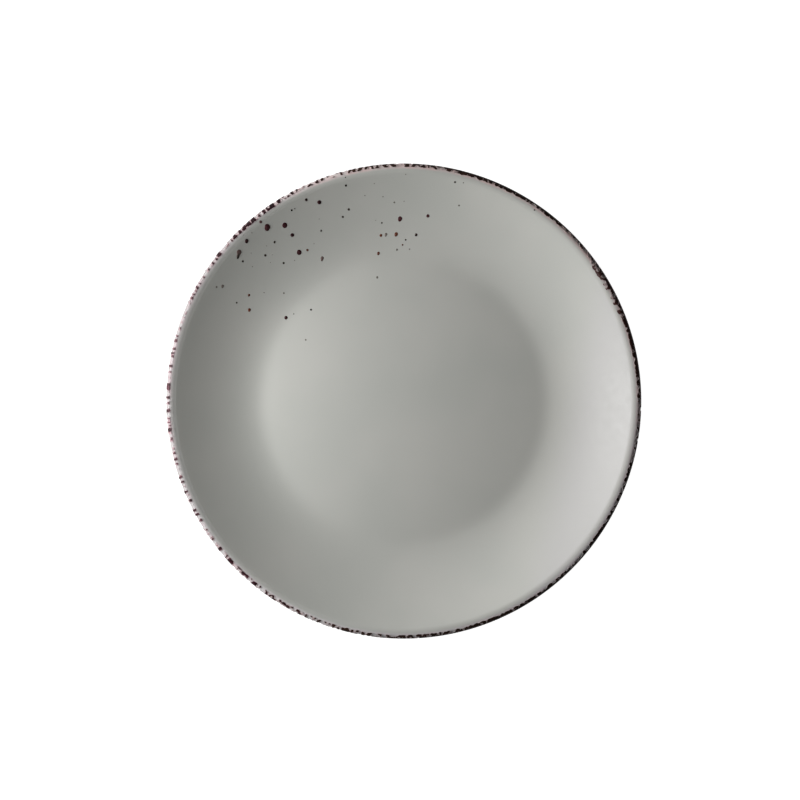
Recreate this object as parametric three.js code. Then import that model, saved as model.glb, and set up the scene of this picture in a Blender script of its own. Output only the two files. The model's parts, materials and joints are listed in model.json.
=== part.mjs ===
// A round dessert plate in grey glazed stoneware, with a flat well, a wall that sweeps up to a rolled lip,
// a turned foot ring, a brown lined edge, and brown glaze flicked over one side of its face.
// Millimetres, +Z up. The origin is on the table, under the middle of the plate.
import * as THREE from "three";
import { ParametricGeometry } from "three/addons/geometries/ParametricGeometry.js";

// Overall sizes, over the glaze and the brown edge.
const plateDiameter = 210;
const plateHeight = 26;
const wellDiameter = 124;

// The clay under the well, and the foot ring below it.
const floorThickness = 3.4;
const footDiameter = 116;
const footWidth = 5;
const footHeight = 4;
const footRound = 1;
const footFillet = 1.5;

// The lip: its inner roll and its nose. The wall's own line, run on down, would meet the floor at a corner,
// which lies this share of the way from the edge of the well to the crown of the lip.
const lipRollRadius = 4.5;
const lipNoseRadius = 1.4;
const cornerShare = 0.38;

// How far the sweep bends into that corner, as shares of the way there from the well and from the lip.
const wellHold = 0.2;
const lipHold = 0.9;

// The coats: the grey glaze, and the brown glaze laid over it at the lip.
const glazeThickness = 0.4;
const edgeThickness = 0.15;
const edgeClearance = 0.05;

// The inner border of the brown edge wanders on the last stretch of the roll, up to the crown: the share of it
// that is covered on average, and the waves that fray it, with how many go round, how deep, and where they
// start.
const edgeMeanCover = 0.5;
const edgeWaves = [
  { count: 1, depth: 0.16, start: 90 },
  { count: 5, depth: 0.12, start: 20 },
  { count: 13, depth: 0.1, start: 200 },
  { count: 29, depth: 0.08, start: 75 },
];

// The drops: how high they stand for their width, their seat, the way the flicked glaze ran, and how sharply
// a run tapers for its length.
const dropBulge = 0.12;
const dropClearance = 0.05;
const runBearing = 255;
const runTaper = 7;

// Facets round the plate, and round a drop.
const plateFacets = 60;
const edgeFacets = 2 * plateFacets;
const dropFacets = 10;

// Colours of the fired clay and of the glazes.
const clayColour = 0xc2b09a;
const greyColour = 0xa5a5a0;
const brownColour = 0x2a211f;
const plumColour = 0x3c2225;
const rustColour = 0x6a4330;
const fadedColour = 0x77706c;

// Each drop: distance in from the rim, bearing round the plate in degrees, width, run as a share of the
// width, and colour.
const drops = [
  [7.2, 128, 2.4, 0.3, plumColour],
  [11, 124, 2.1, 0.15, plumColour],
  [9.5, 113, 1.8, 0, plumColour],
  [16.3, 123.8, 1.5, 0.15, plumColour],
  [24.1, 125, 2, 0.2, plumColour],
  [6.9, 137.8, 2, 1.1, fadedColour],
  [5.9, 134.3, 1.4, 0.45, plumColour],
  [3.8, 128.6, 1.3, 0, plumColour],
  [6.2, 115.8, 1.2, 0.1, plumColour],
  [14.2, 129, 0.9, 0.3, plumColour],
  [15.9, 133.5, 1, 0.1, plumColour],
  [25.4, 122.5, 1.1, 0, rustColour],
  [31.7, 119.6, 1.4, 0.6, fadedColour],
  [23.7, 131, 0.9, 0.1, plumColour],
  [10.7, 139, 0.9, 0.1, plumColour],
  [10.1, 147.5, 1.1, 0.5, fadedColour],
  [8.1, 148.6, 0.8, 0.2, fadedColour],
  [21.7, 145.5, 0.9, 0.4, rustColour],
  [25.3, 149.3, 1.2, 0.4, rustColour],
  [19, 149.5, 0.8, 0, plumColour],
  [40.7, 144.6, 1.5, 0.1, plumColour],
  [47, 135.4, 0.9, 0, plumColour],
  [53.5, 148, 0.8, 0, fadedColour],
  [33.2, 138, 0.8, 0, fadedColour],
  [20.9, 115.8, 0.8, 0.3, plumColour],
  [18.9, 108.3, 1, 0, plumColour],
  [16.6, 106, 1.1, 0, plumColour],
  [6.4, 105, 1, 0, plumColour],
  [7.2, 120.4, 0.8, 0.1, plumColour],
  [23.8, 91.1, 1.8, 0.3, plumColour],
  [22, 82.5, 1.4, 0.1, plumColour],
  [30.5, 92.5, 1.5, 0.35, rustColour],
  [30.7, 85.7, 1.2, 0.15, plumColour],
  [30.5, 97.8, 1.2, 0.15, rustColour],
  [30.3, 96, 1.1, 0.6, fadedColour],
  [38.1, 99.6, 1.2, 0.35, rustColour],
  [48.5, 102, 0.9, 0.3, fadedColour],
  [25.2, 97, 0.8, 0, plumColour],
  [33.2, 89.3, 0.8, 0, plumColour],
  [35.4, 90.4, 0.8, 0, rustColour],
  [37.4, 92.5, 0.8, 0.3, fadedColour],
  [16.8, 92.7, 0.8, 0, fadedColour],
  [14.9, 74.2, 0.8, 0, fadedColour],
  [5.7, 76.8, 0.9, 0, plumColour],
];

// Main levels and radii of the bare clay, which lies under the coats.
const coats = glazeThickness + edgeClearance + edgeThickness;
const rimRadius = plateDiameter / 2 - coats;
const lipTop = plateHeight - coats;
const crownRadius = rimRadius - lipNoseRadius;
const undersideHeight = footHeight;
const floorHeight = undersideHeight + floorThickness;
const wellRadius = wellDiameter / 2;
const footOuter = footDiameter / 2;
const footInner = footOuter - footWidth;
const footCorner = Math.min(footFillet, (footHeight - footRound) / 2);

// The wall's own line runs from its corner on the floor and touches the roll of the lip.
const point = (radius, height) => new THREE.Vector2(radius, height);
const rollCentre = point(crownRadius, lipTop - lipRollRadius);
const noseCentre = point(crownRadius, lipTop - lipNoseRadius);
const wallCorner = point(wellRadius + cornerShare * (crownRadius - wellRadius), floorHeight);
const toRoll = rollCentre.clone().sub(wallCorner);
const wallSlope = toRoll.angle() + Math.asin(lipRollRadius / toRoll.length());
const wallOut = point(-Math.sin(wallSlope), Math.cos(wallSlope));
const wallTop = rollCentre.clone().addScaledVector(wallOut, lipRollRadius);

// The back of the wall leaves the nose at the same slope, and its line meets the underside at a corner too.
const backTop = noseCentre.clone().addScaledVector(wallOut, -lipNoseRadius);
const backRun = (backTop.y - undersideHeight) / Math.tan(wallSlope);
const backCorner = point(backTop.x - backRun, undersideHeight);
const backFoot = point(footOuter + footCorner, undersideHeight);

// A swept stretch of the wall between two ends, bent into the corner where their lines meet.
function sweep(from, fromHold, to, toHold, corner) {
  const leave = from.clone().lerp(corner, fromHold);
  const arrive = to.clone().lerp(corner, toHold);
  return new THREE.CubicBezierCurve(from, leave, arrive, to);
}

function arc(centre, radius, startAngle, endAngle) {
  const clockwise = endAngle < startAngle;
  return new THREE.EllipseCurve(centre.x, centre.y, radius, radius, startAngle, endAngle, clockwise);
}

const line = (from, to) => new THREE.LineCurve(from, to);

// Points along a curve of the clay's outline, each with the direction that faces out of the clay.
function trace(curve, steps) {
  return Array.from({ length: steps + 1 }, (_, step) => {
    const along = curve.getTangent(step / steps);
    return { at: curve.getPoint(step / steps), out: point(-along.y, along.x) };
  });
}

// Traces in a row, where each begins at the last point of the one before.
const join = (first, ...others) => others.reduce((all, next) => [...all, ...next.slice(1)], first);

// The clay's outline from the middle of the well, over the lip, down the back, and under to the middle.
const quarter = Math.PI / 2;
const roll = trace(arc(rollCentre, lipRollRadius, quarter + wallSlope, quarter), 3);
const noseTop = trace(arc(noseCentre, lipNoseRadius, quarter, 0), 3);
const noseUnder = trace(arc(noseCentre, lipNoseRadius, 0, wallSlope - quarter), 2);

const face = join(
  trace(line(point(0, floorHeight), point(wellRadius, floorHeight)), 1),
  trace(sweep(point(wellRadius, floorHeight), wellHold, wallTop, lipHold, wallCorner), 6),
  roll,
  noseTop,
);
const outerFillet = point(footOuter + footCorner, undersideHeight - footCorner);
const back = join(
  face.slice(-1),
  noseUnder,
  trace(sweep(backTop, lipHold, backFoot, wellHold, backCorner), 5),
  trace(arc(outerFillet, footCorner, quarter, 2 * quarter), 2),
);
const foot = join(
  trace(line(back.at(-1).at, point(footOuter, footRound)), 1),
  trace(arc(point(footOuter - footRound, footRound), footRound, 0, -quarter), 2),
  trace(line(point(footOuter - footRound, 0), point(footInner + footRound, 0)), 1),
  trace(arc(point(footInner + footRound, footRound), footRound, -quarter, -2 * quarter), 2),
  trace(line(point(footInner, footRound), point(footInner, undersideHeight - footCorner)), 1),
);
const innerFillet = point(footInner - footCorner, undersideHeight - footCorner);
const base = join(
  trace(arc(innerFillet, footCorner, 0, quarter), 2),
  trace(line(point(innerFillet.x, undersideHeight), point(0, undersideHeight)), 1),
);

// A stretch of the outline, and the same stretch raised off the clay.
const raised = (stretch, height) => stretch.map(({ at, out }) => at.clone().addScaledVector(out, height));
const bare = (stretch) => stretch.map(({ at }) => at);
const glazed = (stretch) => raised(stretch, glazeThickness);

// A profile of radius and height, turned round the plate's axis.
const turned = (profile) => new THREE.LatheGeometry(profile, plateFacets).rotateX(quarter);

const plate = new THREE.Group();

function add(name, geometry, color, roughness) {
  const mesh = new THREE.Mesh(geometry, new THREE.MeshStandardMaterial({ color, roughness, metalness: 0 }));
  mesh.name = name;
  plate.add(mesh);
  return mesh;
}

// The thrown body, bare only on its foot ring.
const bodyOutline = bare(join(face, back, foot, base));
add("stoneware_body", turned(bodyOutline.reverse()), clayColour, 0.85);

// The grey glaze: over the face to the outermost line of the lip, down the back to the foot, and under it.
const faceProfile = [...bare(face), ...glazed(face).reverse()];
const backProfile = [...bare(back), ...glazed(back).reverse(), back[0].at];
const baseProfile = [...glazed(base).reverse(), ...bare(base)];
add("face_glaze", turned(faceProfile), greyColour, 0.4);
add("back_glaze", turned(backProfile), greyColour, 0.4);
add("base_glaze", turned(baseProfile), greyColour, 0.4);

// The brown edge lies over the glazed lip, from a frayed border by the crown to just under the nose.
const lip = join(roll.slice(-2), noseTop, noseUnder.slice(0, 2));
const edgeSeat = raised(lip, glazeThickness + edgeClearance);
const edgeTop = raised(lip, glazeThickness + edgeClearance + edgeThickness);

// Share of the roll's last stretch that the brown edge covers at an angle round the plate.
function edgeCover(angle) {
  const wave = ({ count, depth, start }) => depth * Math.sin(count * angle + THREE.MathUtils.degToRad(start));
  return edgeWaves.reduce((cover, each) => cover + wave(each), edgeMeanCover);
}

// The edge's closed section at an angle: over its top, and back along its seat.
function edgeSection(angle) {
  const border = (rows) => rows[1].clone().lerp(rows[0], edgeCover(angle));
  const top = [border(edgeTop), ...edgeTop.slice(1)];
  const seat = [border(edgeSeat), ...edgeSeat.slice(1)];
  return [...top, ...seat.reverse(), top[0]];
}

// The glaze below is faceted, so the edge's in-between sections draw in to the middle of a facet.
const midFacet = Math.cos(Math.PI / plateFacets);
const edgeSections = Array.from({ length: edgeFacets }, (_, step) => {
  const angle = (2 * Math.PI * step) / edgeFacets;
  const draw = step % 2 ? midFacet : 1;
  const place = ({ x, y }) => new THREE.Vector3(x * draw * Math.cos(angle), x * draw * Math.sin(angle), y);
  return edgeSection(angle).map(place);
});

// The point of the edge's surface at shares of the way round the plate and round the section.
function edgePoint(acrossShare, roundShare, target) {
  const section = edgeSections[Math.round(roundShare * edgeFacets) % edgeFacets];
  const row = acrossShare * (section.length - 1);
  const low = Math.min(Math.floor(row), section.length - 2);
  target.lerpVectors(section[low], section[low + 1], row - low);
}

const edgeRows = 2 * lip.length;
add("brown_edge", new ParametricGeometry(edgePoint, edgeRows, edgeFacets), brownColour, 0.35);

// Height of the faceted face under a point of the plan.
const faceRings = glazed(face);

function faceHeight(x, y) {
  const facetAngle = (2 * Math.PI) / plateFacets;
  const facetMiddle = (Math.floor(Math.atan2(y, x) / facetAngle) + 0.5) * facetAngle;
  const radius = (x * Math.cos(facetMiddle) + y * Math.sin(facetMiddle)) / midFacet;
  const outer = faceRings.findIndex((ring) => ring.x >= radius);
  const [from, to] = [faceRings[Math.max(outer - 1, 0)], faceRings[Math.max(outer, 1)]];
  return THREE.MathUtils.mapLinear(radius, from.x, to.x, from.y, to.y);
}

// A drop is a low dome on a flat seat, with a corner that is drawn out along the run, laid down on the face.
const domeProfile = [point(0, 0), point(1, 0), point(0.7, 0.75), point(0, 1)];

function dropGeometry(centre, width, run) {
  const runAngle = THREE.MathUtils.degToRad(runBearing);
  const dome = new THREE.LatheGeometry(domeProfile, dropFacets, runAngle + quarter).rotateX(quarter);
  const corners = dome.getAttribute("position");
  for (let i = 0; i < corners.count; i += 1) {
    const [x, y, rise] = [corners.getX(i), corners.getY(i), corners.getZ(i)];
    const ahead = Math.max(0, Math.cos(Math.atan2(y, x) - runAngle));
    const reach = (width / 2) * (1 + 2 * run * ahead ** (runTaper * run));
    const seat = faceHeight(centre.x + x * reach, centre.y + y * reach) - centre.z;
    corners.setXYZ(i, x * reach, y * reach, seat + dropClearance + rise * dropBulge * width);
  }
  dome.computeVertexNormals();
  return dome;
}

drops.forEach(([inward, bearing, width, run, colour], index) => {
  const angle = THREE.MathUtils.degToRad(bearing);
  const radius = plateDiameter / 2 - inward;
  const [x, y] = [radius * Math.cos(angle), radius * Math.sin(angle)];
  const centre = new THREE.Vector3(x, y, faceHeight(x, y));
  const name = `spatter_drop_${String(index + 1).padStart(2, "0")}`;
  add(name, dropGeometry(centre, width, run), colour, 0.3).position.copy(centre);
});

export default plate;
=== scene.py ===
import json
import math

import bpy
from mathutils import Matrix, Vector


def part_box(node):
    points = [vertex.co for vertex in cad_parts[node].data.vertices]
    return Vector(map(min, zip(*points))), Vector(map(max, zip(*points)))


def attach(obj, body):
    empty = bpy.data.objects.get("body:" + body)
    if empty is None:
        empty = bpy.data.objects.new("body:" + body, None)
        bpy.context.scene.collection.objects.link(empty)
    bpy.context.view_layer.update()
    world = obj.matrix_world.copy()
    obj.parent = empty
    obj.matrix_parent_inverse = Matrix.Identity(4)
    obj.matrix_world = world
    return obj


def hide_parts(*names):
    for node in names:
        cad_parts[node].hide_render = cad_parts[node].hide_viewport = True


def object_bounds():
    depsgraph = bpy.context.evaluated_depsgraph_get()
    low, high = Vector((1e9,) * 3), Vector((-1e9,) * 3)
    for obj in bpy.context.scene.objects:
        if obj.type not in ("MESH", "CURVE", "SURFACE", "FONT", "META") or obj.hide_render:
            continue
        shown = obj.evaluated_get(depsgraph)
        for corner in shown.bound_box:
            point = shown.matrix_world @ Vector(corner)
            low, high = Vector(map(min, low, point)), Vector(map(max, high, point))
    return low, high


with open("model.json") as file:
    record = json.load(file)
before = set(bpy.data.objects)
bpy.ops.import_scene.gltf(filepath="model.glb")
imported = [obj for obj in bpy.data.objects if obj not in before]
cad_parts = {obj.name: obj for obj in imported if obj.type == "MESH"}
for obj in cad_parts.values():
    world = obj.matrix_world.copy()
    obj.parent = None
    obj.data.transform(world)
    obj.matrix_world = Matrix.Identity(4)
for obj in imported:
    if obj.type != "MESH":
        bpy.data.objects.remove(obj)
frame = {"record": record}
cad_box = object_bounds()

# The thrown body: buff stoneware clay, turned in one piece with a flat well, a wall that sweeps up to a
# rolled lip, and a trimmed foot ring. It is glazed all over, then wiped bare on the foot ring to stand on.
MILLIMETRE = 0.001
QUARTER = math.pi / 2

body_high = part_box("stoneware_body")[1]
face_low, face_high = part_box("face_glaze")
back_low, back_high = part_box("back_glaze")
base_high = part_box("base_glaze")[1]

rim_radius = body_high.x
lip_top = body_high.z
nose_radius = lip_top - back_high.z
floor_height = face_low.z
underside_height = base_high.z
foot_inner = base_high.x
foot_fillet = underside_height - back_low.z

well_radius = 62 * MILLIMETRE
foot_width = 5 * MILLIMETRE
foot_round = 1 * MILLIMETRE
roll_radius = 4.5 * MILLIMETRE
corner_share = 0.38
well_hold = 0.2
lip_hold = 0.9
bend_half = 12 * MILLIMETRE

floor_steps = 10
bend_steps = 12
wall_steps = 48
roll_steps = 10
nose_steps = 12
under_steps = 8
back_steps = 44
fillet_steps = 6
foot_side_steps = 3
foot_flat_steps = 4
wheel_steps = 256
crease_angle = math.radians(40)
weld_distance = 0.001 * MILLIMETRE

noise_span = (0.3, 0.7)
clay_cloud = 9 * MILLIMETRE
clay_grit = 0.5 * MILLIMETRE
iron_speck = 1.1 * MILLIMETRE
grit_depth = 0.12 * MILLIMETRE


def spot(radius, height):
    return Vector((radius, height))


def line(start, end):
    """A straight stretch: the point and the heading at a share of the way along it."""
    return lambda share: (start.lerp(end, share), end - start)


def arc(centre, radius, start_angle, end_angle):
    """A round stretch about a centre, in radians."""
    swing = end_angle - start_angle

    def at(share):
        angle = start_angle + swing * share
        spoke = spot(math.cos(angle), math.sin(angle))
        return centre + radius * spoke, swing * spot(-spoke.y, spoke.x)

    return at


def sweep(start, start_hold, end, end_hold, corner):
    """A swept stretch of the wall, bent into the corner where the lines of its two ends meet."""
    leave = start.lerp(corner, start_hold)
    arrive = end.lerp(corner, end_hold)

    def at(share):
        rest = 1 - share
        early = rest * rest * (rest * start + 3 * share * leave)
        late = share * share * (3 * rest * arrive + share * end)
        heading = rest * rest * (leave - start) + 2 * rest * share * (arrive - leave)
        return early + late, heading + share * share * (end - arrive)

    return at


def trace(curve, steps):
    """Points along a stretch of the outline, each with the direction that faces out of the clay."""
    traced = []
    for step in range(steps + 1):
        place, heading = curve(step / steps)
        traced.append((place, spot(-heading.y, heading.x).normalized()))
    return traced


def join(first, *others):
    """Traces in a row, where each begins at the last point of the one before."""
    joined = list(first)
    for other in others:
        joined += other[1:]
    return joined


def raised(stretch, height):
    return [place + out * height for place, out in stretch]


crown_radius = rim_radius - nose_radius
foot_outer = foot_inner + foot_width
roll_centre = spot(crown_radius, lip_top - roll_radius)
nose_centre = spot(crown_radius, lip_top - nose_radius)
wall_corner = spot(well_radius + corner_share * (crown_radius - well_radius), floor_height)
to_roll = roll_centre - wall_corner
wall_slope = math.atan2(to_roll.y, to_roll.x) + math.asin(roll_radius / to_roll.length)
wall_out = spot(-math.sin(wall_slope), math.cos(wall_slope))
wall_top = roll_centre + roll_radius * wall_out
back_top = nose_centre - nose_radius * wall_out
back_corner = spot(back_top.x - (back_top.y - underside_height) / math.tan(wall_slope), underside_height)
back_foot = spot(foot_outer + foot_fillet, underside_height)
outer_fillet = spot(foot_outer + foot_fillet, underside_height - foot_fillet)
inner_fillet = spot(foot_inner - foot_fillet, underside_height - foot_fillet)
foot_outer_round = spot(foot_outer - foot_round, foot_round)
foot_inner_round = spot(foot_inner + foot_round, foot_round)
to_table = spot(0, foot_round)

well_edge = spot(well_radius, floor_height)
bend_start = spot(well_radius - bend_half, floor_height)
nose_over = trace(arc(nose_centre, nose_radius, QUARTER, 0), nose_steps)
nose_under = trace(arc(nose_centre, nose_radius, 0, wall_slope - QUARTER), under_steps)
face_outline = join(
    trace(line(spot(0, floor_height), bend_start), floor_steps),
    trace(line(bend_start, well_edge), bend_steps),
    trace(sweep(well_edge, well_hold, wall_top, lip_hold, wall_corner), wall_steps),
    trace(arc(roll_centre, roll_radius, QUARTER + wall_slope, QUARTER), roll_steps),
    nose_over,
)
back_outline = join(
    nose_under,
    trace(sweep(back_top, lip_hold, back_foot, well_hold, back_corner), back_steps),
    trace(arc(outer_fillet, foot_fillet, QUARTER, 2 * QUARTER), fillet_steps),
)
foot_outline = join(
    trace(line(back_outline[-1][0], foot_outer_round + spot(foot_round, 0)), foot_side_steps),
    trace(arc(foot_outer_round, foot_round, 0, -QUARTER), fillet_steps),
    trace(line(foot_outer_round - to_table, foot_inner_round - to_table), foot_flat_steps),
    trace(arc(foot_inner_round, foot_round, -QUARTER, -2 * QUARTER), fillet_steps),
    trace(line(foot_inner_round - spot(foot_round, 0), inner_fillet + spot(foot_fillet, 0)), foot_side_steps),
)
base_outline = join(
    trace(arc(inner_fillet, foot_fillet, 0, QUARTER), fillet_steps),
    trace(line(inner_fillet + spot(0, foot_fillet), spot(0, underside_height)), floor_steps),
)


def lay(tree, kind, feeds=None, **settings):
    """A new node with its settings, whose inputs are fed by values or by other nodes' outputs."""
    node = tree.nodes.new(kind)
    for name, value in settings.items():
        setattr(node, name, value)
    for socket, feed in (feeds or {}).items():
        if isinstance(feed, bpy.types.NodeSocket):
            tree.links.new(feed, node.inputs[socket])
        else:
            node.inputs[socket].default_value = feed
    return node


def reckon(tree, operation, *feeds):
    """The output of a Math node."""
    return lay(tree, "ShaderNodeMath", dict(enumerate(feeds)), operation=operation).outputs[0]


def new_shaping_tree(name, inputs):
    """A Geometry Nodes tree with a mesh in and out and the named inputs, and the node that holds them."""
    tree = bpy.data.node_groups.new(name, "GeometryNodeTree")
    tree.is_modifier = True
    tree.interface.new_socket("Geometry", in_out="OUTPUT", socket_type="NodeSocketGeometry")
    tree.interface.new_socket("Geometry", in_out="INPUT", socket_type="NodeSocketGeometry")
    for label, kind in inputs.items():
        tree.interface.new_socket(label, in_out="INPUT", socket_type="NodeSocket" + kind)
    return tree, lay(tree, "NodeGroupInput").outputs


def close_tree(tree, mesh, finish):
    """Ends a tree: instances made real, and the finish set."""
    real = lay(tree, "GeometryNodeRealizeInstances", {0: mesh}).outputs[0]
    coated = lay(tree, "GeometryNodeSetMaterial", {"Geometry": real, "Material": finish}).outputs[0]
    lay(tree, "NodeGroupOutput", {0: coated})


def stored(tree, name, kind="FLOAT"):
    """A value that the mesh keeps under a name."""
    return lay(tree, "GeometryNodeInputNamedAttribute", {"Name": name}, data_type=kind).outputs[0]


def store(tree, mesh, name, value, kind="FLOAT"):
    """The mesh, with a value kept on each of its points under a name."""
    feeds = {"Geometry": mesh, "Name": name, "Value": value}
    return lay(tree, "GeometryNodeStoreNamedAttribute", feeds, data_type=kind).outputs[0]


def smoothed(tree, mesh, crease):
    """The mesh shaded smooth, apart from the edges that bend by more than the crease."""
    smooth = lay(tree, "GeometryNodeSetShadeSmooth", {0: mesh, "Shade Smooth": True}).outputs[0]
    bend = lay(tree, "GeometryNodeInputMeshEdgeAngle").outputs["Unsigned Angle"]
    feeds = {0: smooth, "Selection": reckon(tree, "GREATER_THAN", bend, crease), "Shade Smooth": False}
    return lay(tree, "GeometryNodeSetShadeSmooth", feeds, domain="EDGE").outputs[0]


def welded(tree, mesh):
    """The mesh with its meeting points made one."""
    feeds = {"Geometry": mesh, "Distance": weld_distance}
    return lay(tree, "GeometryNodeMergeByDistance", feeds).outputs[0]


def new_wheel_tree():
    """Turns a profile of points round the plate's axis. Each point keeps its share of the way along."""
    inputs = {"Steps": "Int", "Crease": "Float", "Finish": "Material"}
    tree, given = new_shaping_tree("turn_on_the_wheel", inputs)
    profile, steps = given["Geometry"], given["Steps"]
    count = lay(tree, "GeometryNodeAttributeDomainSize", {0: profile}).outputs["Point Count"]
    columns = reckon(tree, "ADD", steps, 1)
    grid = lay(tree, "GeometryNodeMeshGrid", {"Vertices X": columns, "Vertices Y": count}).outputs["Mesh"]
    index = lay(tree, "GeometryNodeInputIndex").outputs[0]
    row = reckon(tree, "MODULO", index, count)
    column = reckon(tree, "FLOOR", reckon(tree, "DIVIDE", reckon(tree, "ADD", index, 0.5), count))
    along = reckon(tree, "DIVIDE", row, reckon(tree, "SUBTRACT", count, 1))
    marked = store(tree, grid, "along", along)
    place = lay(tree, "GeometryNodeInputPosition").outputs[0]
    sample = lay(
        tree,
        "GeometryNodeSampleIndex",
        {"Geometry": profile, "Value": place, "Index": row},
        data_type="FLOAT_VECTOR",
    ).outputs[0]
    section = lay(tree, "ShaderNodeSeparateXYZ", {0: sample}).outputs
    angle = reckon(tree, "DIVIDE", reckon(tree, "MULTIPLY", column, 2 * math.pi), steps)
    across = reckon(tree, "MULTIPLY", section["X"], reckon(tree, "COSINE", angle))
    aside = reckon(tree, "MULTIPLY", section["X"], reckon(tree, "SINE", angle))
    turned = lay(tree, "ShaderNodeCombineXYZ", {"X": across, "Y": aside, "Z": section["Z"]}).outputs[0]
    wrapped = lay(tree, "GeometryNodeSetPosition", {"Geometry": marked, "Position": turned}).outputs[0]
    close_tree(tree, smoothed(tree, welded(tree, wrapped), given["Crease"]), given["Finish"])
    return tree


def shape(blank, tree, values):
    """Runs a tree on an object with the named inputs, and leaves the result as its plain mesh."""
    step = blank.modifiers.new(tree.name, "NODES")
    step.node_group = tree
    for item in tree.interface.items_tree:
        if item.in_out == "INPUT" and item.name in values:
            step[item.identifier] = values[item.name]
    bpy.context.view_layer.update()
    shaped = blank.evaluated_get(bpy.context.evaluated_depsgraph_get())
    made = bpy.data.meshes.new_from_object(shaped)
    blank.modifiers.remove(step)
    old = blank.data
    blank.data = made
    bpy.data.meshes.remove(old)
    made.name = blank.name
    return blank


def new_blank(name, points):
    """An object of loose points, which a tree then shapes."""
    mesh = bpy.data.meshes.new(name)
    mesh.from_pydata(points, [], [])
    blank = bpy.data.objects.new(name, mesh)
    bpy.context.scene.collection.objects.link(blank)
    return blank


wheel_tree = new_wheel_tree()


def turn(name, profile, finish):
    """A piece turned on the wheel from a profile of radius and height, with the clay on its left."""
    blank = new_blank(name, [(place.x, 0, place.y) for place in profile])
    return shape(blank, wheel_tree, {"Steps": wheel_steps, "Crease": crease_angle, "Finish": finish})


def new_finish(name):
    """A material with its main shader, and the object's own coordinates to pattern it by."""
    finish = bpy.data.materials.new(name)
    finish.use_nodes = True
    tree = finish.node_tree
    own = lay(tree, "ShaderNodeTexCoord").outputs["Object"]
    return finish, tree, tree.nodes["Principled BSDF"], own


def mottle(tree, vector, grain, detail=2.0):
    """Soft noise whose grains are this many metres across."""
    feeds = {"Vector": vector, "Scale": 1 / grain, "Detail": detail}
    return lay(tree, "ShaderNodeTexNoise", feeds).outputs["Fac"]


def spread(tree, value, low, high, to_low=0.0, to_high=1.0):
    """A value eased from one range to another, and held at its ends."""
    feeds = {"Value": value, "From Min": low, "From Max": high, "To Min": to_low, "To Max": to_high}
    return lay(tree, "ShaderNodeMapRange", feeds, interpolation_type="SMOOTHSTEP").outputs[0]


def blend(tree, share, first, second):
    """Two colours mixed by a share."""
    mix = lay(tree, "ShaderNodeMix", {0: share, 6: first, 7: second}, data_type="RGBA")
    return mix.outputs[2]


def tone(red, green, blue):
    """A colour as seen on a screen, from 0 to 255, as the light that a shader reckons in."""
    def light(part):
        part /= 255
        return part / 12.92 if part <= 0.04045 else ((part + 0.055) / 1.055) ** 2.4

    return light(red), light(green), light(blue), 1.0


def roughen(tree, shader, height, depth):
    """Bumps on a shader, of a depth in metres."""
    bump = lay(tree, "ShaderNodeBump", {"Height": height, "Distance": depth, "Strength": 1.0})
    tree.links.new(bump.outputs[0], shader.inputs["Normal"])


def new_bare_clay():
    finish, tree, shader, own = new_finish("bare_stoneware")
    cloud = spread(tree, mottle(tree, own, clay_cloud), *noise_span)
    grit = mottle(tree, own, clay_grit, 4.0)
    iron = spread(tree, mottle(tree, own, iron_speck), 0.66, 0.74)
    buff = blend(tree, cloud, tone(196, 176, 148), tone(214, 198, 172))
    grained = blend(tree, spread(tree, grit, 0.35, 0.7), buff, tone(182, 160, 132))
    tree.links.new(blend(tree, iron, grained, tone(120, 88, 62)), shader.inputs["Base Color"])
    tree.links.new(spread(tree, grit, *noise_span, 0.78, 0.95), shader.inputs["Roughness"])
    roughen(tree, shader, grit, grit_depth)
    return finish


clay_outline = join(face_outline, back_outline, foot_outline, base_outline)
body = turn("stoneware_body_visual", raised(clay_outline, 0)[::-1], new_bare_clay())
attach(body, "root")
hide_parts("stoneware_body")

# The grey glaze on the face: a smooth satin coat, dipped and fired, from the middle of the well over the lip
# to its outermost line. It pools a little at the bend of the well. It runs thin on the lip: flushed pink and
# pale. On the right its roll is painted paler (painted light) and its wall cooler (a painted highlight's
# tint), and on the left its roll and nose are painted a darker mauve grey: painted shade.
glaze_thickness = face_high.x - rim_radius
pool_reach = 3 * MILLIMETRE
pool_samples = 16

glaze_cloud = 45 * MILLIMETRE
glaze_peel = 2.5 * MILLIMETRE
peel_depth = 0.004 * MILLIMETRE
flush_patch = 4 * MILLIMETRE
nose_run = (-1 * MILLIMETRE, 0.3 * MILLIMETRE)
painted_shade_run = (-3.2 * MILLIMETRE, -1.2 * MILLIMETRE)
painted_light_run = (-3 * MILLIMETRE, -1.4 * MILLIMETRE)

# Sides of the plate, each by its bearing and by the two shares of the rim's radius between which it sets in.
# On the left side the glazes are painted darker: painted shade.
painted_shade_bearing = math.radians(175)
painted_shade_lip = (painted_shade_bearing, 0.35, 1.1)
painted_shade_roll = (painted_shade_bearing, 0.13, 1.19)
pink_side = (math.radians(58), 0.1, 0.95)
# On the right the roll is painted paler: painted light.
painted_light_side = (math.radians(5), 0.3, 0.95)
# On the right the wall takes a highlight's cooler, whiter tint: a painted highlight.
painted_highlight_side = (math.radians(-12), 0.62, 0.8)


def towards(tree, own, bearing, start, end):
    """How far a point lies towards a bearing, eased between two shares of the rim's radius."""
    feeds = {0: own, 1: (math.cos(bearing), math.sin(bearing), 0)}
    across = lay(tree, "ShaderNodeVectorMath", feeds, operation="DOT_PRODUCT").outputs["Value"]
    return spread(tree, across, start * rim_radius, end * rim_radius)


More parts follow.
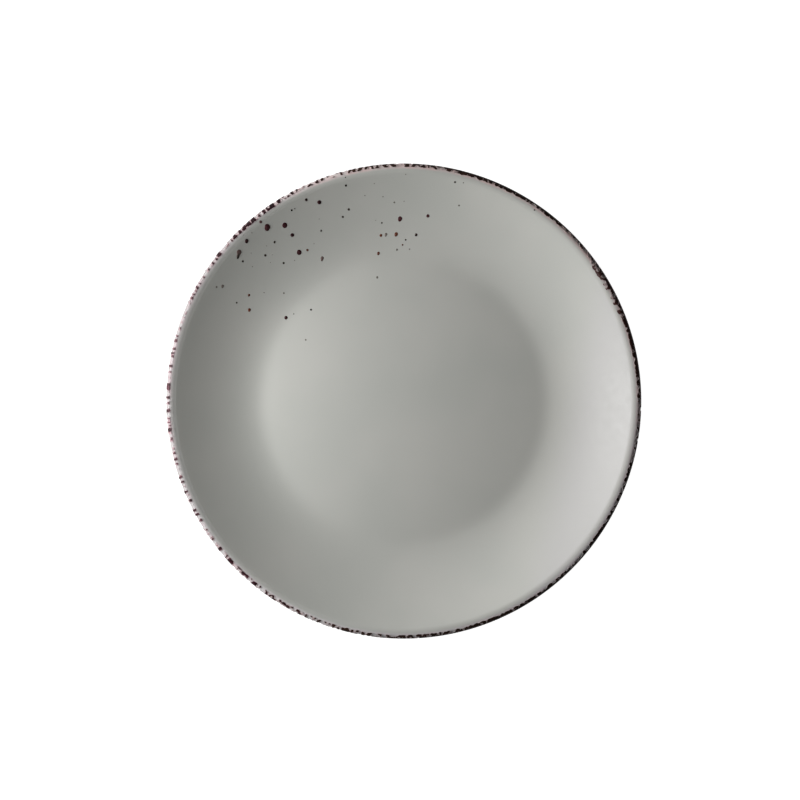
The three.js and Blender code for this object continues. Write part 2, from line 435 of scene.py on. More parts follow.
def lip_flush(tree, own):
    """The colour of the thin grey on the nose of the lip: flushed, and painted darker on the left: painted
    shade.
    """
    patch = spread(tree, mottle(tree, own, flush_patch, 3.0), 0.42, 0.62)
    pale = blend(tree, patch, tone(184, 181, 181), tone(186, 178, 180))
    pink = blend(tree, patch, tone(190, 179, 176), tone(196, 175, 172))
    flushed = blend(tree, towards(tree, own, *pink_side), pale, pink)
    # On the left the nose is painted a dark mauve grey: painted shade.
    nose_painted_shade = blend(tree, patch, tone(110, 106, 106), tone(113, 102, 104))
    return blend(tree, towards(tree, own, *painted_shade_lip), flushed, nose_painted_shade)


def new_grey_glaze():
    finish, tree, shader, own = new_finish("grey_satin_glaze")
    plan = lay(tree, "ShaderNodeVectorMath", {0: own, 1: (1, 1, 0)}, operation="MULTIPLY").outputs[0]
    radius = lay(tree, "ShaderNodeVectorMath", {0: plan}, operation="LENGTH").outputs["Value"]
    from_crown = reckon(tree, "SUBTRACT", radius, crown_radius)
    cloud = spread(tree, mottle(tree, own, glaze_cloud), *noise_span)
    peel = mottle(tree, own, glaze_peel)
    grey = blend(tree, cloud, tone(167, 168, 163), tone(172, 172, 167))
    # On the right the wall is painted a shade cooler and whiter: a painted highlight's tint.
    grey = blend(tree, towards(tree, own, *painted_highlight_side), grey, tone(171, 170, 168))
    # On the right the inner roll is painted paler: painted light.
    painted_light_share = reckon(tree, "MULTIPLY", towards(tree, own, *painted_light_side), spread(tree, from_crown, *painted_light_run))
    grey = blend(tree, painted_light_share, grey, tone(183, 182, 178))
    # On the left the roll is painted dark grey: painted shade.
    painted_roll_shade = reckon(tree, "MULTIPLY", towards(tree, own, *painted_shade_roll), spread(tree, from_crown, *painted_shade_run))
    grey = blend(tree, painted_roll_shade, grey, tone(104, 103, 101))
    on_nose = spread(tree, from_crown, *nose_run)
    tree.links.new(blend(tree, on_nose, grey, lip_flush(tree, own)), shader.inputs["Base Color"])
    tree.links.new(spread(tree, peel, *noise_span, 0.46, 0.54), shader.inputs["Roughness"])
    roughen(tree, shader, peel, peel_depth)
    shader.inputs["Specular IOR Level"].default_value = 0.35
    return finish


def height_at(coat, radius):
    """The height of a coat at a radius, between its two nearest points."""
    for inner, outer in zip(coat, coat[1:]):
        if inner.x <= radius <= outer.x:
            return inner.lerp(outer, (radius - inner.x) / (outer.x - inner.x)).y
    raise ValueError("the coat has no such radius")


def pooled(coat):
    """A coat that eases the bend at the edge of the well, where the melting glaze pools."""
    eased = []
    for place in coat:
        away = (place.x - well_radius) / bend_half
        reach = pool_reach * max(0.0, 1 - away * away)
        if reach > 0:
            shifts = [reach * step / pool_samples for step in range(-pool_samples, pool_samples + 1)]
            heights = [height_at(coat, place.x + shift) for shift in shifts]
            place = spot(place.x, sum(heights) / len(heights))
        eased.append(place)
    return eased


grey_glaze = new_grey_glaze()
face_profile = raised(face_outline, 0) + pooled(raised(face_outline, glaze_thickness))[::-1]
face = turn("face_glaze_visual", face_profile, grey_glaze)
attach(face, "root")
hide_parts("face_glaze")

# The same glaze down the back, from the outermost line of the lip to the foot ring, where the sponge that
# wiped the foot left a clean round edge.
bead_length = 0.7 * MILLIMETRE


def beaded(stretch, thickness, at_end):
    """A raised stretch that rounds off to nothing over the bead at one of its ends."""
    places = [place for place, _ in stretch]
    run = [0.0]
    for before, after in zip(places, places[1:]):
        run.append(run[-1] + (after - before).length)
    coat = []
    for (place, out), way in zip(stretch, run):
        left = min(1.0, (run[-1] - way if at_end else way) / bead_length)
        coat.append(place + out * thickness * math.sqrt(left * (2 - left)))
    return coat


back_profile = raised(back_outline, 0) + beaded(back_outline, glaze_thickness, True)[::-1]
back_profile.append(back_profile[0])
back = turn("back_glaze_visual", back_profile, grey_glaze)
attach(back, "root")
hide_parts("back_glaze")

# The same glaze on the underside, from the same dip and fired to the clay: a round patch within the foot
# ring, with the same wiped round edge.
base_profile = beaded(base_outline, glaze_thickness, False)[::-1] + raised(base_outline, 0)
base = turn("base_glaze_visual", base_profile, grey_glaze)
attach(base, "root")
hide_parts("base_glaze")

# The brown edge: iron glaze brushed round the lip over the grey. It pulls back from the crown as it melts, so
# its inner border is frayed. On the right a full brush left a nearly whole line, and on the left a drier one
# left dashes across the lip, in a faint pink fringe.
glaze_nose = nose_radius + glaze_thickness
glaze_roll = roll_radius + glaze_thickness
edge_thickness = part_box("brown_edge")[1].x - rim_radius - glaze_thickness
edge_sink = 0.05 * MILLIMETRE
edge_steps = 2600
edge_rows = 24
strip_inside = 1.7 * MILLIMETRE
strip_outside = 3.9 * MILLIMETRE
pinch_passes = 8
even_passes = 2
border_share = 0.45

full_reach = 2.1 * MILLIMETRE
border_run = (0.6 * MILLIMETRE, 1.1 * MILLIMETRE)
border_drop = 0.65
rim_run = (0.9 * MILLIMETRE, 1.7 * MILLIMETRE)
rim_gain = 0.5
rim_even = 0.5
under_run = (3.1 * MILLIMETRE, 3.7 * MILLIMETRE)
under_drop = 0.9
dash_bias = -0.225
dash_gain = 0.45
dash_length = 1.5 * MILLIMETRE
dash_strength = 1.3
tooth_length = 0.5 * MILLIMETRE
tooth_strength = 0.45
brush_seed = 3.0
fringe_cover = 0.11

painted_shade_brush_side = (painted_shade_bearing, 0.2, 0.6)
mauve_side = (math.radians(195), 0.45, 0.95)
full_side = (math.radians(18), 0.8, 0.98)
feather_cover = (-0.01, 0.06)
wash_cover = (0.06, 0.2)
wash_run = (-0.5 * MILLIMETRE, 0.1 * MILLIMETRE)
pool_grain = 1.6 * MILLIMETRE
drift_grain = 7 * MILLIMETRE
bloom_grain = 1.3 * MILLIMETRE

# How the brush went round, by bearing in degrees: how much of the lip its dashes cover, how far up over the
# crown it reached, as a share of its full reach, how fully it lined the outermost rim, and how much a dash
# changes on its way across the lip.
dash_cover = [
    (0, 0.3),
    (5, 0.5),
    (12, 0.78),
    (22, 0.74),
    (26, 0.58),
    (35, 0.58),
    (38, 0.22),
    (43, 0.22),
    (46, 0.7),
    (60, 0.85),
    (68, 0.92),
    (77, 0.85),
    (82, 0.72),
    (98, 0.68),
    (108, 0.4),
    (114, 0.48),
    (121, 0.52),
    (125, 0.84),
    (131, 0.84),
    (135, 0.46),
    (145, 0.44),
    (165, 0.42),
    (185, 0.42),
    (200, 0.47),
    (214, 0.5),
    (222, 0.45),
    (232, 0.58),
    (245, 0.48),
    (265, 0.56),
    (284, 0.66),
    (294, 0.82),
    (304, 0.6),
    (325, 0.42),
    (345, 0.34),
    (360, 0.3),
]
brush_reach = [
    (0, 0.39),
    (6, 0.47),
    (20, 0.5),
    (24, 1),
    (35, 1),
    (38, 0.36),
    (75, 0.36),
    (110, 0.31),
    (120, 0.37),
    (124, 0.54),
    (130, 0.54),
    (136, 0.4),
    (205, 0.4),
    (215, 0.45),
    (245, 0.4),
    (290, 0.37),
    (320, 0.37),
    (360, 0.39),
]
rim_line = [
    (0, 0.95),
    (12, 0.95),
    (20, 0.88),
    (60, 0.8),
    (75, 0.74),
    (88, 0.56),
    (105, 0.45),
    (120, 0.3),
    (215, 0.3),
    (240, 0.27),
    (262, 0.42),
    (285, 0.72),
    (300, 0.84),
    (320, 0.95),
    (360, 0.95),
]
dash_change = [
    (0, 0.7),
    (115, 0.7),
    (137, 0.3),
    (215, 0.3),
    (240, 0.7),
    (360, 0.7),
]


def drawn(tree, share, points):
    """A curve drawn through given bearings and values, read at a share of the way round."""
    node = lay(tree, "ShaderNodeFloatCurve", {"Value": share})
    curve = node.mapping.curves[0]
    first, *between, last = [(bearing / 360, value) for bearing, value in points]
    curve.points[0].location = first
    curve.points[1].location = last
    for place in between:
        curve.points.new(*place)
    node.mapping.update()
    return node.outputs[0]


def brush_cover(tree, given, bearing, from_crown):
    """How well the brush covered a point of the lip, by its bearing and its run out from the crown."""
    ring_x = reckon(tree, "MULTIPLY", reckon(tree, "COSINE", bearing), given["Ring radius"])
    ring_y = reckon(tree, "MULTIPLY", reckon(tree, "SINE", bearing), given["Ring radius"])
    round_share = reckon(tree, "FRACT", reckon(tree, "DIVIDE", bearing, 2 * math.pi))
    across = reckon(tree, "MULTIPLY", from_crown, drawn(tree, round_share, dash_change))
    band = lay(tree, "ShaderNodeCombineXYZ", {"X": ring_x, "Y": ring_y, "Z": across}).outputs[0]

    def streaks(length, detail, strength):
        scale = reckon(tree, "DIVIDE", 1.0, length)
        feeds = {"Vector": band, "W": given["Seed"], "Scale": scale, "Detail": detail}
        noise = lay(tree, "ShaderNodeTexNoise", feeds, noise_dimensions="4D").outputs["Fac"]
        return reckon(tree, "MULTIPLY", reckon(tree, "SUBTRACT", noise, 0.5), strength)

    reach_in = reckon(tree, "MULTIPLY", drawn(tree, round_share, brush_reach), full_reach)
    border = spread(tree, reckon(tree, "ADD", from_crown, reach_in), *border_run, -border_drop, 0.0)
    dashes = reckon(tree, "MULTIPLY_ADD", drawn(tree, round_share, dash_cover), dash_gain, dash_bias)
    lining = reckon(tree, "SUBTRACT", drawn(tree, round_share, rim_line), rim_even)
    lining = reckon(tree, "MULTIPLY", lining, rim_gain)
    rim = reckon(tree, "MULTIPLY", spread(tree, from_crown, *rim_run), lining)
    under = spread(tree, from_crown, *under_run, 0.0, -under_drop)
    broad = streaks(given["Dash length"], 0.0, dash_strength)
    teeth = streaks(given["Tooth length"], 1.0, tooth_strength)
    cover = reckon(tree, "ADD", border, dashes)
    for part in (rim, under, broad, teeth):
        cover = reckon(tree, "ADD", cover, part)
    return cover


def without(tree, mesh, unwanted, domain):
    """The mesh less the faces, edges or points that aren't wanted."""
    feeds = {"Geometry": mesh, "Selection": unwanted}
    return lay(tree, "GeometryNodeDeleteGeometry", feeds, domain=domain).outputs[0]


def evened(tree, value, kind):
    """A value evened out between neighbouring points."""
    feeds = {"Value": value, "Iterations": even_passes}
    return lay(tree, "GeometryNodeBlurAttribute", feeds, data_type=kind).outputs[0]


def crusted(tree, given, patches, spare):
    """Patches with a thin closed body, sunk a little into the lip and thinner towards their borders."""
    outward = stored(tree, "outward", "FLOAT_VECTOR")
    feeds = {0: outward, "Scale": reckon(tree, "MULTIPLY", given["Sink"], -1.0)}
    down = lay(tree, "ShaderNodeVectorMath", feeds, operation="SCALE").outputs[0]
    seat = lay(tree, "GeometryNodeSetPosition", {"Geometry": patches, "Offset": down}).outputs[0]
    inner = evened(tree, reckon(tree, "LESS_THAN", spare, 0.5), "FLOAT")
    crust = reckon(tree, "MULTIPLY_ADD", inner, 1 - border_share, border_share)
    height = reckon(tree, "MULTIPLY_ADD", crust, given["Thickness"], given["Sink"])
    feeds = {"Mesh": seat, "Offset": outward, "Offset Scale": height, "Individual": False}
    top = lay(tree, "GeometryNodeExtrudeMesh", feeds, mode="FACES").outputs["Mesh"]
    bottom = lay(tree, "GeometryNodeFlipFaces", {0: seat}).outputs[0]
    both = lay(tree, "GeometryNodeJoinGeometry")
    tree.links.new(top, both.inputs[0])
    tree.links.new(bottom, both.inputs[0])
    return welded(tree, both.outputs[0])


def new_brush_tree():
    """Keeps the brushed parts of a ring over the lip, and gives each of them a thin closed body."""
    inputs = {
        "Ring radius": "Float",
        "Inside": "Float",
        "Outside": "Float",
        "Thickness": "Float",
        "Sink": "Float",
        "Dash length": "Float",
        "Tooth length": "Float",
        "Seed": "Float",
        "Finish": "Material",
    }
    tree, given = new_shaping_tree("brush_round_the_lip", inputs)
    place = lay(tree, "GeometryNodeInputPosition").outputs[0]
    reach = reckon(tree, "ADD", given["Inside"], given["Outside"])
    way_in = reckon(tree, "MULTIPLY", stored(tree, "along"), reach)
    from_crown = reckon(tree, "SUBTRACT", given["Outside"], way_in)
    parts = lay(tree, "ShaderNodeSeparateXYZ", {0: place}).outputs
    bearing = reckon(tree, "ARCTAN2", parts["Y"], parts["X"])
    ring = store(tree, given["Geometry"], "cover", brush_cover(tree, given, bearing, from_crown))
    ring = store(tree, ring, "from_crown", from_crown)
    normal = lay(tree, "GeometryNodeInputNormal").outputs[0]
    ring = store(tree, ring, "outward", normal, "FLOAT_VECTOR")

    # A point where two patches only touch has spare edges. It goes, with the edges and points left over.
    bare = reckon(tree, "LESS_THAN", stored(tree, "cover"), -fringe_cover)
    around = lay(tree, "GeometryNodeInputMeshVertexNeighbors").outputs
    edge_faces = lay(tree, "GeometryNodeInputMeshEdgeNeighbors").outputs["Face Count"]
    spare = reckon(tree, "SUBTRACT", around["Vertex Count"], around["Face Count"])
    pinched = reckon(tree, "GREATER_THAN", spare, 1.5)
    loose_edge = reckon(tree, "LESS_THAN", edge_faces, 0.5)
    loose_point = reckon(tree, "LESS_THAN", around["Face Count"], 0.5)
    patches = without(tree, ring, bare, "FACE")
    for _ in range(pinch_passes):
        patches = without(tree, patches, pinched, "POINT")
        patches = without(tree, patches, loose_edge, "EDGE")
    patches = without(tree, patches, loose_point, "POINT")
    feeds = {"Geometry": patches, "Position": evened(tree, place, "FLOAT_VECTOR")}
    patches = lay(tree, "GeometryNodeSetPosition", feeds).outputs[0]
    closed = crusted(tree, given, patches, spare)
    close_tree(tree, smoothed(tree, closed, crease_angle), given["Finish"])
    return tree


def new_brown_glaze():
    finish, tree, shader, own = new_finish("brown_edge_glaze")
    cover = lay(tree, "ShaderNodeAttribute", attribute_name="cover").outputs["Fac"]
    from_crown = lay(tree, "ShaderNodeAttribute", attribute_name="from_crown").outputs["Fac"]
    pool = spread(tree, mottle(tree, own, pool_grain, 3.0), 0.4, 0.6)
    drift = spread(tree, mottle(tree, own, drift_grain), 0.42, 0.58)
    bloom = spread(tree, mottle(tree, own, bloom_grain), 0.5, 0.62)
    iron = blend(tree, pool, tone(58, 39, 33), tone(40, 27, 22))
    plum_black_painted_shade = blend(tree, pool, tone(34, 9, 15), tone(21, 5, 9))
    warm_brown = blend(tree, pool, tone(80, 52, 47), tone(60, 38, 34))
    # On the lit left the brown is painted plum black: painted shade.
    dark = blend(tree, towards(tree, own, *painted_shade_brush_side), iron, plum_black_painted_shade)
    dark = blend(tree, towards(tree, own, *full_side), dark, warm_brown)
    thin = blend(tree, drift, tone(104, 84, 83), tone(78, 56, 57))
    upper = spread(tree, from_crown, *wash_run, 1.0, 0.0)
    washed = reckon(tree, "MULTIPLY", spread(tree, cover, *wash_cover), upper)
    mauve = reckon(tree, "MULTIPLY", bloom, towards(tree, own, *mauve_side))
    brushed = blend(tree, mauve, blend(tree, washed, dark, thin), tone(66, 37, 44))
    # The fringe is painted a darker pink on the left: painted shade.
    pink = blend(tree, towards(tree, own, *painted_shade_lip), tone(172, 154, 153), tone(118, 94, 99))
    fringe = blend(tree, spread(tree, cover, -fringe_cover, 0.0), lip_flush(tree, own), pink)
    feathered = blend(tree, spread(tree, cover, *feather_cover), fringe, brushed)
    tree.links.new(feathered, shader.inputs["Base Color"])
    tree.links.new(spread(tree, pool, 0.0, 1.0, 0.4, 0.55), shader.inputs["Roughness"])
    shader.inputs["Specular IOR Level"].default_value = 0.1
    return finish


def along_lip(from_crown):
    """The point of the glazed lip at a run from its crown, in over the roll or out over the nose."""
    if from_crown < 0:
        swing = from_crown / glaze_roll
        return roll_centre + glaze_roll * spot(math.sin(swing), math.cos(swing))
    swing = from_crown / glaze_nose
    return nose_centre + glaze_nose * spot(math.sin(swing), math.cos(swing))


strip_length = strip_inside + strip_outside
strip = [along_lip(strip_outside - strip_length * row / edge_rows) for row in range(edge_rows + 1)]
edge = new_blank("brown_edge_visual", [(place.x, 0, place.y) for place in strip])
brown_glaze = new_brown_glaze()
shape(edge, wheel_tree, {"Steps": edge_steps, "Crease": math.pi, "Finish": brown_glaze})
brush_sizes = {
    "Ring radius": rim_radius,
    "Inside": strip_inside,
    "Outside": strip_outside,
    "Thickness": edge_thickness,
    "Sink": edge_sink,
    "Dash length": dash_length,
    "Tooth length": tooth_length,
    "Seed": brush_seed,
    "Finish": brown_glaze,
}
shape(edge, new_brush_tree(), brush_sizes)
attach(edge, "root")
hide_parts("brown_edge")

# The spatter: drops of the brown glazes flicked on the face from a brush, that stand as low domes. The plum
# and rust ones stay dark and glossy, and the faded ones have sunk into the grey.
drop_bulge = 0.1
drop_wobble = 0.22
run_bearing = math.radians(255)
run_taper = 14.0
run_least = 2.0
drop_sink = 0.08 * MILLIMETRE
drop_unlikeness = 3000.0
drop_seed = 1.0
drop_roundness = 4
wobble_scale = 0.8
fall_height = 1.0
radii_per_width = 2.0

pool_share = 0.45
drop_pool = 1.2 * MILLIMETRE
drop_drift = 9 * MILLIMETRE
small_to_large = (0.9 * MILLIMETRE, 1.6 * MILLIMETRE)
slots = {part["node"]: part["material_slot"] for part in frame["record"]["subparts"]}


def drop_tail(tree, given, ball):
    """How many widths a drop is drawn out by at a point of its outline, most along the way it ran."""
    angle = reckon(tree, "ARCTAN2", ball["Y"], ball["X"])
    ahead = reckon(tree, "COSINE", reckon(tree, "SUBTRACT", angle, given["Run bearing"]))
    run_squared = reckon(tree, "POWER", stored(tree, "run"), 2.0)
    taper = reckon(tree, "MULTIPLY_ADD", run_squared, given["Run taper"], run_least)
    ahead = reckon(tree, "POWER", reckon(tree, "MAXIMUM", ahead, 0.0), taper)
    return reckon(tree, "MULTIPLY", stored(tree, "run"), ahead)


def drop_waver(tree, given, ball):
    """A factor near one by which a drop's outline wavers, unlike that of the other drops."""
    level = lay(tree, "ShaderNodeCombineXYZ", {"X": ball["X"], "Y": ball["Y"]}).outputs[0]
    feeds = {0: stored(tree, "centre", "FLOAT_VECTOR"), "Scale": drop_unlikeness}
    own_part = lay(tree, "ShaderNodeVectorMath", feeds, operation="SCALE").outputs[0]
    around = lay(tree, "ShaderNodeVectorMath", {0: level, 1: own_part}, operation="ADD").outputs[0]
    feeds = {"Vector": around, "W": given["Seed"], "Scale": wobble_scale, "Detail": 1.0}
    noise = lay(tree, "ShaderNodeTexNoise", feeds, noise_dimensions="4D").outputs["Fac"]
    return reckon(tree, "MULTIPLY_ADD", reckon(tree, "SUBTRACT", noise, 0.5), given["Wobble"], 1.0)


def new_flick_tree():
    """Lays a low dome with an uneven outline on the face at each point, drawn out along the way it ran."""
    inputs = {
        "Face": "Object",
        "Roundness": "Int",
        "Bulge": "Float",
        "Wobble": "Float",
        "Run bearing": "Float",
        "Run taper": "Float",
        "Sink": "Float",
        "Seed": "Float",
        "Finish": "Material",
    }
    tree, given = new_shaping_tree("flick_drops", inputs)

    place = lay(tree, "GeometryNodeInputPosition").outputs[0]
    points = store(tree, given["Geometry"], "centre", place, "FLOAT_VECTOR")
    feeds = {"Radius": 1.0, "Subdivisions": given["Roundness"]}
    ball = lay(tree, "GeometryNodeMeshIcoSphere", feeds).outputs[0]
    ball = store(tree, ball, "ball", place, "FLOAT_VECTOR")
    domes = lay(tree, "GeometryNodeInstanceOnPoints", {"Points": points, "Instance": ball}).outputs[0]
    domes = lay(tree, "GeometryNodeRealizeInstances", {0: domes}).outputs[0]

    ball_parts = lay(tree, "ShaderNodeSeparateXYZ", {0: stored(tree, "ball", "FLOAT_VECTOR")}).outputs
    centre_parts = lay(tree, "ShaderNodeSeparateXYZ", {0: stored(tree, "centre", "FLOAT_VECTOR")}).outputs
    tail = drop_tail(tree, given, ball_parts)
    domes = store(tree, domes, "tail", tail)
    drawn_out = reckon(tree, "MULTIPLY_ADD", tail, radii_per_width, 1.0)
    waver = drop_waver(tree, given, ball_parts)
    half = reckon(tree, "DIVIDE", stored(tree, "width"), radii_per_width)
    reach = reckon(tree, "MULTIPLY", half, reckon(tree, "MULTIPLY", drawn_out, waver))
    x = reckon(tree, "MULTIPLY_ADD", ball_parts["X"], reach, centre_parts["X"])
    y = reckon(tree, "MULTIPLY_ADD", ball_parts["Y"], reach, centre_parts["Y"])
    above = lay(tree, "ShaderNodeCombineXYZ", {"X": x, "Y": y, "Z": fall_height}).outputs[0]
    face_mesh = lay(tree, "GeometryNodeObjectInfo", {"Object": given["Face"]}).outputs["Geometry"]
    feeds = {
        "Target Geometry": face_mesh,
        "Source Position": above,
        "Ray Direction": (0, 0, -1),
        "Ray Length": 2 * fall_height,
    }
    fall = lay(tree, "GeometryNodeRaycast", feeds).outputs
    bulge = reckon(tree, "MULTIPLY", stored(tree, "width"), given["Bulge"])
    rise = reckon(tree, "MULTIPLY", reckon(tree, "MAXIMUM", ball_parts["Z"], 0.0), bulge)
    sunk = reckon(tree, "MULTIPLY", reckon(tree, "MINIMUM", ball_parts["Z"], 0.0), given["Sink"])
    lift = reckon(tree, "ADD", rise, sunk)
    feeds = {0: fall["Hit Normal"], "Scale": lift}
    offset = lay(tree, "ShaderNodeVectorMath", feeds, operation="SCALE").outputs[0]
    feeds = {"Geometry": domes, "Position": fall["Hit Position"], "Offset": offset}
    laid = lay(tree, "GeometryNodeSetPosition", feeds).outputs[0]
    smooth = lay(tree, "GeometryNodeSetShadeSmooth", {0: laid, "Shade Smooth": True}).outputs[0]
    close_tree(tree, smooth, given["Finish"])
    return tree


def new_spatter(name, large, small, gloss):
    """A drop glaze from a deep to a shallow tone, with a pair of these for large drops and one for small."""
    finish, tree, shader, own = new_finish(name)
    pool = spread(tree, mottle(tree, own, drop_pool), 0.35, 0.65)
    drift = spread(tree, mottle(tree, own, drop_drift), 0.4, 0.6)
    mixed = reckon(tree, "MULTIPLY_ADD", pool, pool_share, reckon(tree, "MULTIPLY", drift, 1 - pool_share))
    width = lay(tree, "ShaderNodeAttribute", attribute_name="width").outputs["Fac"]
    size = spread(tree, width, *small_to_large)
    sized = blend(tree, size, blend(tree, mixed, *small), blend(tree, mixed, *large))
    tail = lay(tree, "ShaderNodeAttribute", attribute_name="tail").outputs["Fac"]
    tip = spread(tree, tail, 0.35, 0.8)
    tree.links.new(blend(tree, tip, sized, tone(40, 36, 30)), shader.inputs["Base Color"])
    tree.links.new(spread(tree, pool, 0.0, 1.0, gloss, gloss + 0.12), shader.inputs["Roughness"])
    return finish


flick_tree = new_flick_tree()


def flick(name, drops, finish, roundness):
    """A piece made of drops, each given by its centre, width and run."""
    piece = new_blank(name, [centre for centre, _, _ in drops])
    for label, values in (("width", [drop[1] for drop in drops]), ("run", [drop[2] for drop in drops])):
        piece.data.attributes.new(label, "FLOAT", "POINT").data.foreach_set("value", values)
    flicked = {
        "Face": face,
        "Roundness": roundness,
        "Bulge": drop_bulge,
        "Wobble": drop_wobble,
        "Run bearing": run_bearing,
        "Run taper": run_taper,
        "Sink": drop_sink,
        "Seed": drop_seed,
        "Finish": finish,
    }
    return shape(piece, flick_tree, flicked)


def drop_from_node(node):
    """A drop's centre, width and run, from the box of its solid."""
    low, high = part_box(node)
    width = high.x - low.x
    upright = width * -math.sin(run_bearing)
    run = (high.y - low.y) / upright - 1
    return ((low.x + high.x) / 2, high.y - upright / 2, 0), width, max(run, 0.0)


plum = (tone(32, 12, 14), tone(72, 40, 44))
rust = (tone(62, 28, 22), tone(104, 62, 46))
faded = (tone(76, 60, 57), tone(102, 86, 82))
dark_olive = (tone(32, 29, 24), tone(56, 50, 44))
olive = (tone(74, 70, 62), tone(106, 103, 96))
spatter_finishes = {
    "plum_spatter": new_spatter("plum_spatter_glaze", plum, dark_olive, 0.22),
    "rust_spatter": new_spatter("rust_spatter_glaze", rust, rust, 0.24),
    "faded_spatter": new_spatter("faded_spatter_glaze", faded, olive, 0.34),
}
for slot, finish in spatter_finishes.items():
    nodes = sorted(node for node in slots if slots[node] == slot)
    drops = [drop_from_node(node) for node in nodes]
    piece = flick(slot + "_drops", drops, finish, drop_roundness)
    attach(piece, "root")
    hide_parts(*nodes)

# The mist: the finest flecks of the same flick, each under 0.8 mm wide. Most of the dark ones lie by the rim,
# and the faint ones have all but melted into the grey.
fleck_roundness = 2

# Each fleck's distance in from the rim in millimetres, its bearing in degrees and its width in millimetres.
dark_flecks = [
    (7.3, 119.5, 0.6),
    (42.5, 141.6, 0.55),
    (3.0, 104.6, 0.6),
    (5.1, 74.7, 0.5),
    (2.8, 55.6, 0.75),
]
faint_flecks = [
    (37.3, 87.8, 0.7),
    (14.0, 95.8, 0.6),
    (12.4, 100.7, 0.6),
    (10.9, 135.9, 0.5),
    (25.9, 127.8, 0.55),
    (16.0, 114.9, 0.5),
    (24.5, 119.7, 0.5),
    (26.4, 142.2, 0.55),
    (16.4, 89.9, 0.5),
    (4.9, 89.5, 0.6),
    (8.0, 97.7, 0.5),
    (23.8, 98.8, 0.45),
    (4.9, 132.1, 0.6),
    (13.3, 131.5, 0.45),
    (17.7, 132.0, 0.5),
    (19.7, 133.9, 0.45),
    (15.3, 138.4, 0.5),
    (3.2, 134.0, 0.5),
]


def fleck(inward, bearing, width):
    """A fleck's centre, width and run, from its distance in from the rim, its bearing and its width."""
    radius = cad_box[1].x - inward * MILLIMETRE
    angle = math.radians(bearing)
    return (radius * math.cos(angle), radius * math.sin(angle), 0), width * MILLIMETRE, 0.0


ghost = (tone(102, 98, 94), tone(128, 125, 120))
faint_glaze = new_spatter("faint_mist_glaze", ghost, ghost, 0.4)
mists = (
    ("dark_spatter_mist", dark_flecks, spatter_finishes["plum_spatter"], "plum_spatter"),
    ("faint_spatter_mist", faint_flecks, faint_glaze, "faded_spatter"),
)
for name, flecks, finish, slot in mists:
    mist = flick(name, [fleck(*each) for each in flecks], finish, fleck_roundness)
    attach(mist, "root")

# The studio: a plain white floor that glows like a light table, with a painted contact shadow under the
# plate, soft panels on the left, from close to the rim to low and farther off, and the camera straight above
# it.
rim_plane = nose_centre.y
floor_half = 3.0
contact_reach = 30 * MILLIMETRE
painted_contact_shadow = 0.45
contact_open = 0.55
floor_grey = 0.25
floor_glow = 0.6
backdrop_fill = 0.02

near_size = (0.12, 0.05)
upper_size = (0.18, 0.08)
far_size = (0.45, 0.2)
camera_aside = (-1.63 * MILLIMETRE, 0.47 * MILLIMETRE)
camera_height = 1.767
white = (1, 1, 1, 1)


def new_floor():
    finish, tree, shader, _ = new_finish("white_floor")
    finish.cycles.emission_sampling = "NONE"
    shader.inputs["Base Color"].default_value = (floor_grey, floor_grey, floor_grey, 1)
    shader.inputs["Roughness"].default_value = 0.9
    shader.inputs["Emission Color"].default_value = white
    # Ambient occlusion dims the glow under and beside the plate: a painted contact shadow.
    feeds = {"Distance": contact_reach}
    open_sky = lay(tree, "ShaderNodeAmbientOcclusion", feeds, samples=8).outputs["AO"]
    seen = lay(tree, "ShaderNodeLightPath").outputs["Is Camera Ray"]
    glow = spread(tree, seen, 0.0, 1.0, floor_glow, 1.0)
    shaded = reckon(tree, "MULTIPLY", glow, spread(tree, open_sky, 0.0, contact_open, painted_contact_shadow, 1.0))
    tree.links.new(shaded, shader.inputs["Emission Strength"])
    from_below = lay(tree, "ShaderNodeNewGeometry").outputs["Backfacing"]
    clear = lay(tree, "ShaderNodeBsdfTransparent").outputs[0]
    one_sided = lay(tree, "ShaderNodeMixShader", {0: from_below, 1: shader.outputs[0], 2: clear}).outputs[0]
    tree.links.new(one_sided, tree.nodes["Material Output"].inputs["Surface"])
    return finish


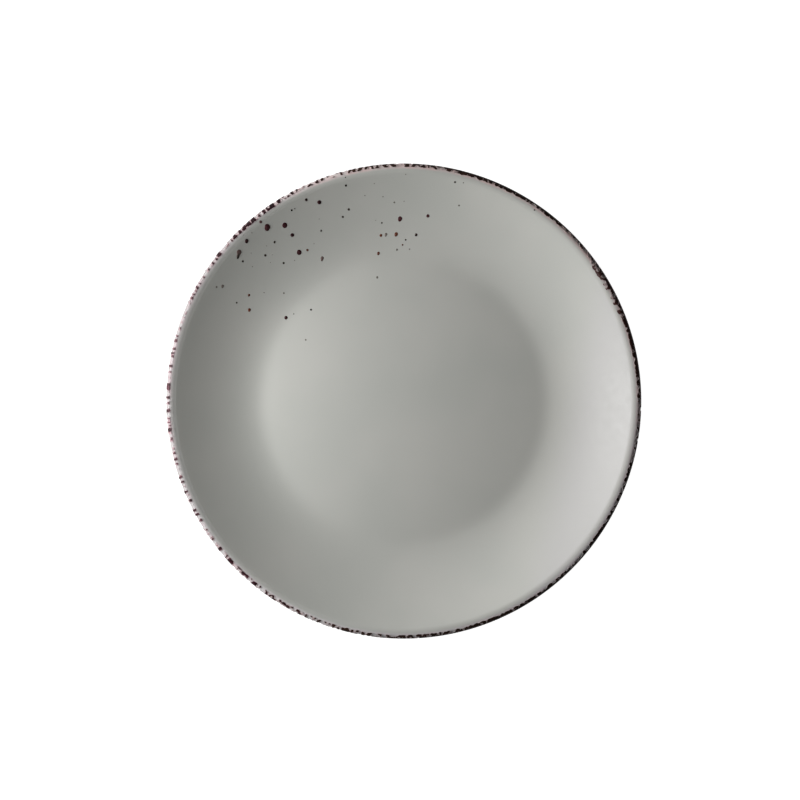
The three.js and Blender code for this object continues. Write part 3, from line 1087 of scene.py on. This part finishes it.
corners = [(-floor_half, -floor_half, 0), (floor_half, -floor_half, 0)]
corners += [(floor_half, floor_half, 0), (-floor_half, floor_half, 0)]
floor_mesh = bpy.data.meshes.new("studio_floor")
floor_mesh.from_pydata(corners, [], [(0, 1, 2, 3)])
floor_mesh.materials.append(new_floor())
floor = bpy.data.objects.new("studio_floor", floor_mesh)
bpy.context.scene.collection.objects.link(floor)


def new_backdrop():
    """A world that looks white, and lights the plate only faintly."""
    world = bpy.data.worlds.new("white_backdrop")
    world.use_nodes = True
    tree = world.node_tree
    dim = tree.nodes["Background"]
    dim.inputs["Color"].default_value = white
    dim.inputs["Strength"].default_value = backdrop_fill
    bright = lay(tree, "ShaderNodeBackground", {"Color": white, "Strength": 1.0})
    seen = lay(tree, "ShaderNodeLightPath").outputs["Is Camera Ray"]
    feeds = {0: seen, 1: dim.outputs[0], 2: bright.outputs[0]}
    mixed = lay(tree, "ShaderNodeMixShader", feeds).outputs[0]
    tree.links.new(mixed, tree.nodes["World Output"].inputs["Surface"])
    return world


bpy.context.scene.world = new_backdrop()


def add_panel(name, place, size, power):
    """A soft light panel, turned towards the middle of the plate."""
    lamp = bpy.data.lights.new(name, "AREA")
    lamp.shape = "RECTANGLE"
    lamp.size, lamp.size_y = size
    lamp.energy = power
    panel = bpy.data.objects.new(name, lamp)
    panel.location = place
    aim = Vector((0, 0, rim_plane / 2)) - panel.location
    panel.rotation_euler = aim.to_track_quat("-Z", "Y").to_euler()
    panel.visible_camera = False
    bpy.context.scene.collection.objects.link(panel)


add_panel("near_low_panel", place=(-0.181, 0, 0.085), size=near_size, power=0.235)
add_panel("near_high_panel", place=(-0.129, 0, 0.153), size=near_size, power=0.102)
add_panel("upper_left_panel", place=(-0.216, 0.193, 0.135), size=upper_size, power=0.252)
add_panel("far_low_panel", place=(-0.7, 0.15, 0.15), size=far_size, power=3.14)
add_panel("far_high_panel", place=(-0.9, 0, 0.5), size=far_size, power=6.66)

camera_lens = bpy.data.cameras.new("photo_camera")
camera_lens.lens = 180
camera_lens.sensor_width = 36
camera_lens.clip_start = 0.01
camera = bpy.data.objects.new("photo_camera", camera_lens)
camera.location = (*camera_aside, rim_plane + camera_height)
bpy.context.scene.collection.objects.link(camera)
bpy.context.scene.camera = camera
bpy.context.scene.view_settings.view_transform = "Standard"
